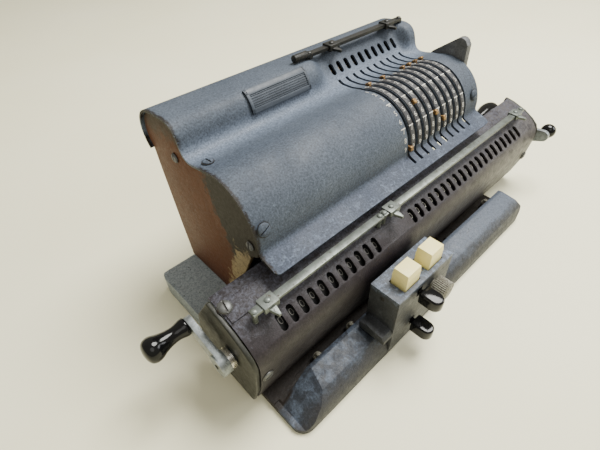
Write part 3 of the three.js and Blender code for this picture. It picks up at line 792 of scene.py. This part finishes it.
def makeLever(i, x):
    node = "setting_lever_%02d" % (i + 1)
    centre, half = rotor["centre"], lever["half"]
    bore, disc = lever["bore"], lever["disc"]
    ring = [(x - half, bore), (x - half, disc), (x + half, disc), (x + half, bore), (x - half, bore)]
    finish(turned(ring, centre, 48), node + "_disc", node, "oiledAndShade", [node])
    turn = math.radians(digits["zero"] + digits["step"] * digits["levers"][i])

    def radialOutline(points):
        # points are (distance from the centre, sideways) at the lever's turn
        return [
            (centre[0] + r * math.cos(turn) - s * math.sin(turn),
             centre[1] + r * math.sin(turn) + s * math.cos(turn))
            for r, s in points
        ]

    wide, head, tip, cut = lever["wide"], lever["head"], lever["tip"], lever["chamfer"]
    side, headHalf = lever["stem"], lever["headHalf"]
    stem = [(disc - 1, -side), (head + 0.2, -side), (head + 0.2, side), (disc - 1, side)]
    cap = [(head, -wide), (tip - cut, -wide), (tip, cut - wide), (tip, wide - cut), (tip - cut, wide),
           (head, wide)]
    bm = prism("X", radialOutline(stem), x - half, x + half)
    joined(bm, soften(prism("X", radialOutline(cap), x - headHalf, x + headHalf), 0.35, 2))
    finish(bm, node + "_tab", node, "tab", [node])


for i, x in enumerate(leverPlaces):
    makeLever(i, x)
print("levers made")

# Nameplate: a blank ribbed plate in a raised frame, bent over the front of the hump
plate = {
    "x": (-67, -16.5), "rim": 2.2, "y": (44, 54.5), "above": 129.5,
    "sheet": 1.0, "rimHeight": 1.7, "ribHeight": 1.3, "rib": 0.22,
}


def makePlate():
    x0, x1 = plate["x"]
    y0, y1 = plate["y"]
    run = [p for p in casingRun(0) if y0 < p[0] < y1 and p[1] > plate["above"]]
    back = offset(run, -0.15)
    pieces = [prism("X", offset(run, -plate["sheet"]) + back[::-1], x0, x1)]
    rim = offset(run, -plate["rimHeight"])
    for a, b in ((x0, x0 + plate["rim"]), (x1 - plate["rim"], x1)):
        pieces.append(soften(prism("X", rim + back[::-1], a, b), 0.4, 2, 50))
    for part in (slice(0, 4), slice(-4, None)):
        pieces.append(soften(prism("X", rim[part] + back[part][::-1], x0, x1), 0.4, 2, 50))
    rib = offset(run, -plate["ribHeight"])
    for a, b in zip(rib[2:-3], rib[3:-2]):
        mid = ((a[0] + b[0]) / 2, (a[1] + b[1]) / 2)
        section = arc(mid, plate["rib"], 0, 360, 6)[:-1]
        pieces.append(prism("X", section, x0 + plate["rim"], x1 - plate["rim"]))
    finish(joined(*pieces), "nameplatePiece", "machine", "plate", ["nameplate"])


makePlate()

# Base and key housing
refined("base_casting", "machine", "base", 1.6, 3)
refined("key_housing", "machine", "housing", 0.9, 3)
housingPin = {
    "centre": (-68.2, 52),
    "profile": [(-68.5, 0), (-68.5, 1.7), (-69.1, 1.7), (-69.3, 1.2), (-69.3, 0)],
}
finish(turned(housingPin["profile"], housingPin["centre"], 24), "housingPin", "machine", "oiledAndShade")
refined("slide_rail", "machine", "corroded", 0.6)
for i in range(3):
    refined("trough_stud_%d" % (i + 1), "machine", "corroded", 0.5)
spring = {"centre": (-51.8, 8.2), "x": (44, 62), "radius": 2.1, "wire": 0.45, "turns": 12}


def makeSpring():
    # the wire's section turned about the spring's axis while it moves along X
    start, end = spring["x"]
    y, z = spring["centre"]
    bm = bmesh.new()
    wire = bmesh.ops.create_circle(bm, cap_ends=True, segments=8, radius=spring["wire"] * mm)["verts"]
    turn = Matrix.Rotation(math.radians(90), 4, "Y") @ Matrix.Rotation(math.radians(90), 4, "X")
    place = Matrix.Translation(point("X", y, z + spring["radius"], start))
    bmesh.ops.transform(bm, matrix=place @ turn, verts=wire)
    steps = spring["turns"] * 16
    bmesh.ops.spin(
        bm, geom=list(bm.verts) + list(bm.edges) + list(bm.faces), cent=point("X", y, z, 0),
        axis=(1, 0, 0), dvec=Vector(((end - start) * mm / steps, 0, 0)),
        angle=2 * math.pi * spring["turns"], steps=steps,
    )
    finish(bm, "troughSpringPiece", "machine", "steel", ["trough_spring"])


makeSpring()
print("base made")

# Carriage
carriage = {
    "left": -151.3, "right": 171.6, "sheet": 1.5, "strip": (-33, -20),
    "window": (2.2, 5.4), "windowPlace": (-45.4, 66.9), "windowSlope": 35,
    "notch": ((-17.45, 180), (-19, -8), (60, 90)),
}


def carriageRun():
    # the sheet's outer line from its back edge over the top and down the front
    return smoothRun([
        (-13, 78.3), (-18.5, 77.5), (-24.6, 76.2), (-30.8, 74.3), (-36.6, 72), (-41.3, 69.7), (-45.5, 66.9),
        (-50, 62.6), (-52.4, 58.2), (-53.2, 53.5), (-52.9, 46), (-50.5, 30), (-47.5, 19), (-44.3, 9),
    ], 4)


def makeCarriage():
    run = carriageRun()
    left, right = carriage["left"], carriage["right"]
    shell = prism("X", run + offset(run, carriage["sheet"])[::-1], left, right)
    tools = [windowTool(x, carriage) for x in counterPlaces + productPlaces]
    tools.append(block(*carriage["notch"]))
    shell = soften(carved(shell, joined(*tools)), 0.4, 2, 50)
    finish(shell, "carriageShell", "carriage", "carriage", ["carriage_cover"])
    front, back = carriage["strip"]
    foot = [p for p in offset(run, -0.1) if front < p[0] < back]
    top = [p for p in offset(run, -0.9) if front < p[0] < back]
    strip = soften(prism("X", top + foot[::-1], left + 1, right - 1), 0.3, 2, 50)
    finish(strip, "carriageStrip", "carriage", "carriage")
    for node in ("carriage_end_left", "carriage_end_right"):
        refined(node, "carriage", "olive", 0.9, 3)
    refined("carriage_frame", "carriage", "steel", 0.6)
    for node in ("counter_marker_bar", "product_marker_bar"):
        refined(node, "carriage", "nickel", 0.2)
    for node in ("counter_marker", "product_marker_left", "product_marker_right"):
        refined(node, node, "nickel", 0.5, 3)


# Rivet heads on the bars and markers
rivet = {"radius": 1.9, "height": 1.1, "bars": {
    "carriage": ((-140.2, -38.5, 81), (-38.8, -38.5, 81), (-34.4, -38.5, 81), (154.2, -38.5, 81)),
    "counter_marker": ((-131, -38.5, 82),), "product_marker_left": ((-27.5, -38.5, 82),),
    "product_marker_right": ((144, -38.5, 82),), "top_marker_left": ((20, 61, 147.6),),
    "top_marker_right": ((84, 61, 147.6),), "machine": ((-2.5, 61, 146.6), (99.9, 61, 146.6)),
}}


def makeRivets():
    radius, height = rivet["radius"], rivet["height"]
    for body, places in rivet["bars"].items():
        heads = []
        for x, y, z in places:
            dome = [(z - 0.3, 0), (z - 0.3, radius), (z + height * 0.4, radius),
                    (z + height * 0.8, radius * 0.75), (z + height, radius * 0.35), (z + height, 0)]
            heads.append(turned(dome, (x, y), 20, "Z"))
        look = "nickel" if y < 0 else "tarnished"  # those on the casing are darker
        finish(joined(*heads), body + "_rivets", body, look)


makeCarriage()
makeRivets()
refined("top_decimal_bar", "machine", "tarnished", 0.4)
for node in ("top_marker_left", "top_marker_right"):
    refined(node, node, "tarnished", 0.5, 3)
print("carriage made")

# Number wheels: the digit in view, and the ones before and after it
wheels = {
    "half": 3.2, "bore": 3.5, "shaft": 3.9, "chamfer": 0.5,
    "counterWheels": {
        "body": "counter_dials", "places": counterPlaces, "centre": dialCentre, "radius": 14,
        "ends": (-150.5, -30), "shown": [0] * 11, "digit": 6.2, "view": 123, "shift": 0.7, "ink": "faded",
    },
    "productWheels": {
        "body": "product_dials", "places": productPlaces, "centre": dialCentre, "radius": 14,
        "ends": (-28, 170.8), "shown": [0] * 20, "digit": 6.2, "view": 123, "shift": 0.7, "ink": "ink",
    },
    "checkWheels": {
        "body": "check_dials", "places": leverPlaces, "centre": (61, 123), "radius": 8.5,
        "ends": (9, 92), "shown": digits["levers"], "digit": 4.2, "view": 130, "shift": 0, "ink": "brassInk",
    },
}


def makeWheels(name):
    spec = wheels[name]
    centre, radius, body = spec["centre"], spec["radius"], spec["body"]
    half, bore, shaft, cut = wheels["half"], wheels["bore"], wheels["shaft"], wheels["chamfer"]
    start, end = spec["ends"]
    pieces = [turned([(start, 0), (start, shaft), (end, shaft), (end, 0)], centre, 24)]
    marks = []
    for x, value in zip(spec["places"], spec["shown"]):
        rim = [(x - half, bore), (x - half, radius - cut), (x - half + cut, radius),
               (x + half - cut, radius), (x + half, radius - cut), (x + half, bore), (x - half, bore)]
        pieces.append(turned(rim, centre, 40))
        for k in (-1, 0, 1):
            mark = glyph(str((value + k) % 10), spec["digit"])
            marks.append(onCylinder(mark, x + spec["shift"], centre, radius - 0.02, spec["view"] + 36 * k))
    finish(joined(*pieces), name, body, "wheel", [body])
    finish(joined(*marks), name + "Digits", body, spec["ink"], clean=False)


for name in ("counterWheels", "productWheels", "checkWheels"):
    makeWheels(name)
print("number wheels made")

# Handles
handles = {
    "clearingHandle": {
        "body": "clearing_grip", "start": -164.1, "length": -27, "centre": (-2, 53.5),
        "neck": 5.6, "waist": 4.6, "belly": 7.6,
    },
    "crankHandle": {
        "body": "crank_grip", "start": 143.4, "length": 62, "centre": (2, 48),
        "neck": 6.2, "waist": 5.0, "belly": 9.4,
    },
}


def makeHandle(name, spec):
    # shares of the length, and the radius there
    shape = smoothRun([
        (0.0, spec["neck"] * 0.95), (0.03, spec["neck"]), (0.10, spec["neck"] * 0.98), (0.25, spec["waist"]),
        (0.42, spec["waist"] * 1.06), (0.58, spec["belly"] * 0.78), (0.72, spec["belly"] * 0.97),
        (0.83, spec["belly"]), (0.93, spec["belly"] * 0.84), (0.985, spec["belly"] * 0.45), (1.0, 0.0),
    ], 4)
    profile = [(spec["start"], 0)] + [(spec["start"] + spec["length"] * t, max(r, 0)) for t, r in shape]
    body = spec["body"]
    finish(turned(profile, spec["centre"], 40), name, body, "black", [body], 50)


for name, spec in handles.items():
    makeHandle(name, spec)
refined("clearing_crank", "clearing_crank", "arm", 0.9, 3)
refined("clearing_lever", "clearing_lever", "arm", 0.7, 3)

# The bright collar between the clearing crank and the carriage, with the pin in the crank's hub
collar = {"centre": (-31, 46), "x": (-159.4, -155.3), "radius": 6.9}


def makeCollar():
    a, b = collar["x"]
    radius = collar["radius"]
    middle = (a + b) / 2
    profile = [
        (a, 0), (a, radius - 0.6), (a + 0.4, radius), (middle - 0.5, radius), (middle - 0.3, radius - 0.7),
        (middle + 0.3, radius - 0.7), (middle + 0.5, radius), (b - 0.4, radius), (b, radius - 0.6), (b, 0),
    ]
    finish(turned(profile, collar["centre"], 40), "clearingCollar", "clearing_crank", "bright")
    pin = [(a - 5.2, 0), (a - 5.7, 0.9), (a - 5.6, 1.5), (a - 4.2, 1.5), (a - 4.2, 0)]
    finish(turned(pin, collar["centre"], 20), "clearingHubPin", "clearing_crank", "oiledAndShade")


makeCollar()
refined("crank_arm", "crank", "arm", 1.2, 3)
refined("crank_shaft", "crank", "steel", 0.3)
refined("clearing_ball", "clearing_lever", "black", 0.3, 2, 50)
refined("rotor", "rotor", "oiledAndShade", 0.3, 1, 50)

# Keys, knob and front levers
for node in ("key_left", "key_right"):
    refined(node, node, "ivory", 1.6, 4, 25)
knob = {
    "centre": (44, -31), "y": (-91, -82), "radius": 7.4, "teeth": 36, "depth": 0.6,
    "face": 5.6, "shaft": 3, "shaftEnd": -77.8,
}


def makeKnob():
    # a knurled disc with a raised face in front and its shaft behind
    low, high = knob["y"]
    centre, face, shaft, end = knob["centre"], knob["face"], knob["shaft"], knob["shaftEnd"]
    outline = []
    for i in range(knob["teeth"] * 2):
        radius = knob["radius"] - (knob["depth"] if i % 2 else 0)
        turn = 180 * i / knob["teeth"]
        outline += arc(centre, radius, turn, turn + 2, 1)
    bm = soften(prism("Y", outline, low, high), 0.25, 1, 60)
    raised = [(low - 0.6, 0), (low - 0.6, face - 1), (low, face), (low + 1, face), (low + 1, 0)]
    joined(bm, turned(raised, centre, 32, "Y"))
    joined(bm, turned([(high - 1, 0), (high - 1, shaft), (end, shaft), (end, 0)], centre, 24, "Y"))
    finish(bm, "knobPiece", "knurled_knob", "corroded", ["knurled_knob"])


makeKnob()
for node in ("upper_lever", "lower_lever"):
    refined(node, node, "black", 2.2, 4)
print("handles, keys and knob made")

# Screws: each one's body, place, which way it faces, radius and height
screwLooks = {"cover": "casing", "end": "bracket", "carriage": "screw"}


def onCover(x, degrees=160, proud=0.4):
    # a place on the cover in front of the drum, and which way it faces
    t = math.radians(degrees)
    y, z = rotor["centre"]
    reach = rotor["drum"] + proud
    return (x, y + reach * math.cos(t), z + reach * math.sin(t)), (0, math.cos(t), math.sin(t))


screws = {
    "cover_screw_valley": ("machine", (-112.3, 29.1, 125.9), (0, 0.08, 1), 3.2, 1.2),
    "cover_screw_left": ("machine", *onCover(-113.5), 4, 1.8),
    "cover_screw_right": ("machine", *onCover(99), 4, 1.8),
    "end_screw_front": ("machine", (-117.9, -9.2, 90.8), (-1, 0, 0), 3, 1.4),
    "end_screw_back": ("machine", (-117.9, 58.7, 117), (-1, 0, 0), 3, 1.4),
    "carriage_screw_top": ("carriage", (-148, -23.4, 77.2), (0, -0.17, 1), 4, 1.8),
    "carriage_screw_left": ("carriage", (-147, -52.6, 42.7), (0, -1, -0.12), 3.6, 1.4),
    "carriage_screw_right": ("carriage", (166, -51.6, 34), (0, -1, -0.12), 3.6, 1.4),
}
screwSlot = {"half": 0.45, "from": 0.4}


def makeScrew(name, spec):
    # a low dome with a slot across it, and under it a dark ring and slot floor that are painted shade
    body, place, normal, radius, height = spec
    half, start = screwSlot["half"], height * screwSlot["from"]
    dome = [(0, 0), (0, radius), (height * 0.4, radius), (height * 0.75, radius * 0.85),
            (height * 0.95, radius * 0.5), (height, 0)]
    groove = block((start, height + 1), (-radius - 1, radius + 1), (-half, half))
    head = soften(carved(turned(dome, (0, 0), 28), groove), 0.12, 1, 40)
    # painted shade: a dark ring round the head and a dark floor in its slot
    paintedShade = turned([(0.05, 0), (0.05, radius + 0.5), (0.12, radius + 0.5), (0.12, 0)], (0, 0), 28)
    joined(paintedShade, block((0.1, height * 0.5), (0.6 - radius, radius - 0.6), (0.02 - half, half - 0.02)))
    turn = Vector((1, 0, 0)).rotation_difference(Vector(normal)).to_matrix().to_4x4()
    put = Matrix.Translation(Vector(place) * mm) @ turn
    for bm in (head, paintedShade):
        bmesh.ops.transform(bm, matrix=put, verts=bm.verts)
    finish(head, name + "_piece", body, screwLooks[name.split("_")[0]], [name])
    finish(paintedShade, name + "_seat", body, "oiledAndShade")


for name, spec in screws.items():
    makeScrew(name, spec)
print("screws made")


# Floor, light and surroundings
room = {
    "floor": ((0.84, 0.80, 0.56), (0.88, 0.85, 0.63)), "floorRough": 0.75, "cloud": 300,
    "air": (0.90, 0.86, 0.72), "airStrength": 0.5, "aim": (0, 0, 0.05),
}
lights = {
    "mainLight": {"place": (0.55, -0.02, 1.3), "size": 0.8, "power": 44, "tint": (1, 0.985, 0.93)},
    "fillLight": {"place": (-0.35, -0.75, 1.2), "size": 0.9, "power": 4, "tint": (1, 0.99, 0.96)},
    "windowLight": {"place": (1.0, -0.8, 0.7), "size": 0.7, "power": 9, "tint": (0.96, 0.98, 1)},
}


def makeFloor():
    bm = bmesh.new()
    bmesh.ops.create_grid(bm, x_segments=1, y_segments=1, size=6)
    mesh = bpy.data.meshes.new("floor")
    bm.to_mesh(mesh)
    bm.free()
    made, tree, shader, coords = blankMaterial("paleFloor")
    cloud = spread(tree, noise(tree, coords, room["cloud"], 3, 0.5), 0.3, 0.7)
    tree.links.new(blendColors(tree, cloud, *room["floor"]), shader.inputs["Base Color"])
    shader.inputs["Roughness"].default_value = room["floorRough"]
    mesh.materials.append(made)
    linked("floor", mesh)


def makeAir():
    world = bpy.data.worlds.new("room")
    world.use_nodes = True
    background = world.node_tree.nodes["Background"]
    background.inputs["Color"].default_value = (*room["air"], 1)
    background.inputs["Strength"].default_value = room["airStrength"]
    bpy.context.scene.world = world


def softLight(name, spec):
    data = bpy.data.lights.new(name, "AREA")
    data.shape = "DISK"
    data.size = spec["size"]
    data.energy = spec["power"]
    data.color = spec["tint"]
    holder = linked(name, data)
    holder.location = place = Vector(spec["place"])
    holder.rotation_euler = (Vector(room["aim"]) - place).to_track_quat("-Z", "Y").to_euler()


makeFloor()
makeAir()
for name, spec in lights.items():
    softLight(name, spec)
print("stage made")
